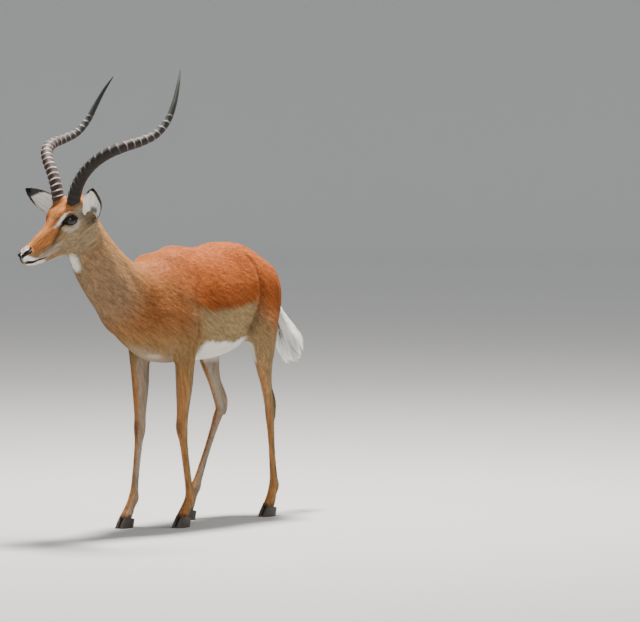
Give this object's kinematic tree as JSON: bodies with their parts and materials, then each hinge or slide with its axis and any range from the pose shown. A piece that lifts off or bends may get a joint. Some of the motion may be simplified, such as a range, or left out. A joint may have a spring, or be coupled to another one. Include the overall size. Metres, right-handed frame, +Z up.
{
  "type": "impala ram",
  "caption": "Standing impala ram, life size, with ringed lyre-shaped horns, pricked ears, cloven hooves and a white tail, as a still display model that rests on its soles.",
  "frame": {"origin": "on the floor plane, at the centre of the bounding box seen from above", "axes": "+Z up and the longest side, +X the way the animal faces, +Y its left"},
  "size_m": [1.289, 0.4294, 1.4396],
  "materials": {
    "coat": "short sleek rufous hair over hide, paler below and white on the belly",
    "tail_hair": "long loose white hair",
    "horn": "ringed dark horn with worn paler ridges and a smooth tip",
    "eye": "wet dark brown eyeball",
    "hoof": "black horn, lightly worn"
  },
  "bodies": {
    "root": {"head": "coat", "neck": "coat", "trunk": "coat", "foreleg_left": "coat", "foreleg_right": "coat", "hindleg_left": "coat", "hindleg_right": "coat", "ear_left": "coat", "ear_right": "coat", "tail": "tail_hair", "eye_left": "eye", "eye_right": "eye", "horn_left": "horn", "horn_right": "horn", "hoof_fore_left_outer": "hoof", "hoof_fore_left_inner": "hoof", "hoof_fore_right_outer": "hoof", "hoof_fore_right_inner": "hoof", "hoof_hind_left_outer": "hoof", "hoof_hind_left_inner": "hoof", "hoof_hind_right_outer": "hoof", "hoof_hind_right_inner": "hoof"}
  },
  "joints": []
}
